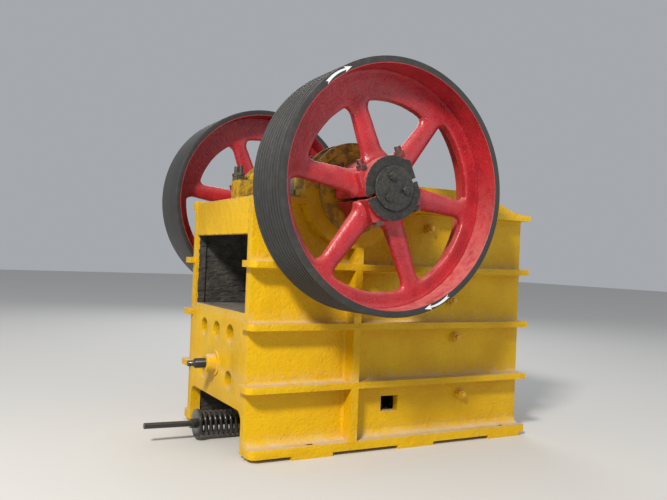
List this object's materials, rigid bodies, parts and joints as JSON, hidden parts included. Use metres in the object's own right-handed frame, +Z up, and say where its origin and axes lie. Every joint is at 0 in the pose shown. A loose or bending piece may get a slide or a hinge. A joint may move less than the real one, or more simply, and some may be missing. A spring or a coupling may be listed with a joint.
{
  "type": "jaw crusher",
  "caption": "Single-toggle jaw crusher with ribbed frame, swing jaw, grooved belt pulley and plain flywheel.",
  "frame": {"origin": "on the floor, in the middle of the four foundation bolt holes", "axes": "+X from the toggle end to the feed end, +Y along the shaft towards the plain flywheel, +Z up"},
  "size_m": [2.1823, 1.928, 2.02],
  "materials": {
    "yellow_paint": "gloss",
    "red_paint": "gloss",
    "grey_rim": "satin",
    "dark_iron": "matte",
    "dusty_iron": "matte",
    "dusty_steel": "matte",
    "bare_steel": "satin",
    "manganese_steel": "matte",
    "dark_bolt": "matte",
    "black_steel": "gloss",
    "spring_black": "gloss"
  },
  "bodies": {
    "frame": {"near_side_wall": "yellow_paint", "far_side_wall": "yellow_paint", "front_wall": "yellow_paint", "rear_top_beam": "yellow_paint", "rear_cross_beam": "yellow_paint", "spring_seat": "yellow_paint", "main_bearings": "bare_steel", "near_bearing_cap": "yellow_paint", "far_bearing_cap": "yellow_paint", "bearing_covers": "dusty_steel", "cap_studs": "dark_bolt", "fixed_jaw_plate": "manganese_steel", "cheek_plates": "manganese_steel", "cheek_bolts": "yellow_paint", "adjusting_block": "dusty_steel", "adjusting_screw": "black_steel", "rear_toggle_seat": "bare_steel", "toggle_plate": "dusty_steel"},
    "rotor": {"eccentric_shaft": "bare_steel", "pulley_rim": "grey_rim", "pulley_spokes": "red_paint", "flywheel_rim": "grey_rim", "flywheel_spokes": "red_paint", "hub_clamp_bolts": "dark_bolt", "hub_end_caps": "dark_iron", "hub_cap_bolts": "dark_bolt"},
    "jaw": {"swing_jaw": "dusty_iron", "moving_jaw_plate": "manganese_steel", "jaw_wedge": "manganese_steel", "front_toggle_seat": "bare_steel", "tension_rod": "black_steel", "rod_pin": "bare_steel", "rod_nuts": "black_steel", "spring_washer": "black_steel", "tension_spring": "spring_black"}
  },
  "joints": [
    {"name": "shaft_spin", "type": "hinge", "parent": "frame", "child": "rotor", "pos_m": [-0.443, 0, 1.39], "axis": [0, 1, 0], "continuous": true},
    {"name": "jaw_swing", "type": "hinge", "parent": "rotor", "child": "jaw", "pos_m": [-0.443, 0, 1.378], "axis": [0, 1, 0], "continuous": true}
  ],
  "couplings": [
    {"joint": "jaw_swing", "follows": "shaft_spin", "ratio": -1}
  ]
}
